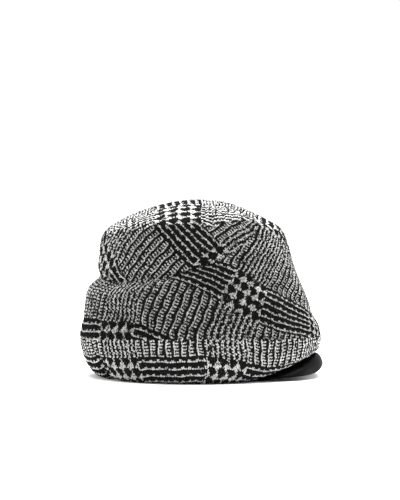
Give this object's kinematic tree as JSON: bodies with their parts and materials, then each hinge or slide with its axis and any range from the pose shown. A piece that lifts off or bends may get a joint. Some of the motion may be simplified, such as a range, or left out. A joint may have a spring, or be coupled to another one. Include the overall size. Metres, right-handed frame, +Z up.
{
  "type": "knitted baker boy cap",
  "caption": "Soft knitted baker boy cap in a black and off-white glen check, with a puffy crown and a short curved black peak.",
  "frame": {"origin": "the middle of the footprint, on the surface that the hem stands on", "axes": "+X forwards, where the peak points; +Y to the wearer's left; +Z up"},
  "size_m": [0.2433, 0.2096, 0.1756],
  "materials": {
    "checked_knit": "jacquard knit, black and off-white glen check, soft and matte",
    "black_peak": "smooth matte black leather with a broad, soft shine"
  },
  "bodies": {
    "root": {"top_panel": "checked_knit", "rear_panel": "checked_knit", "side_panel": "checked_knit", "band": "checked_knit", "peak": "black_peak"}
  },
  "joints": []
}
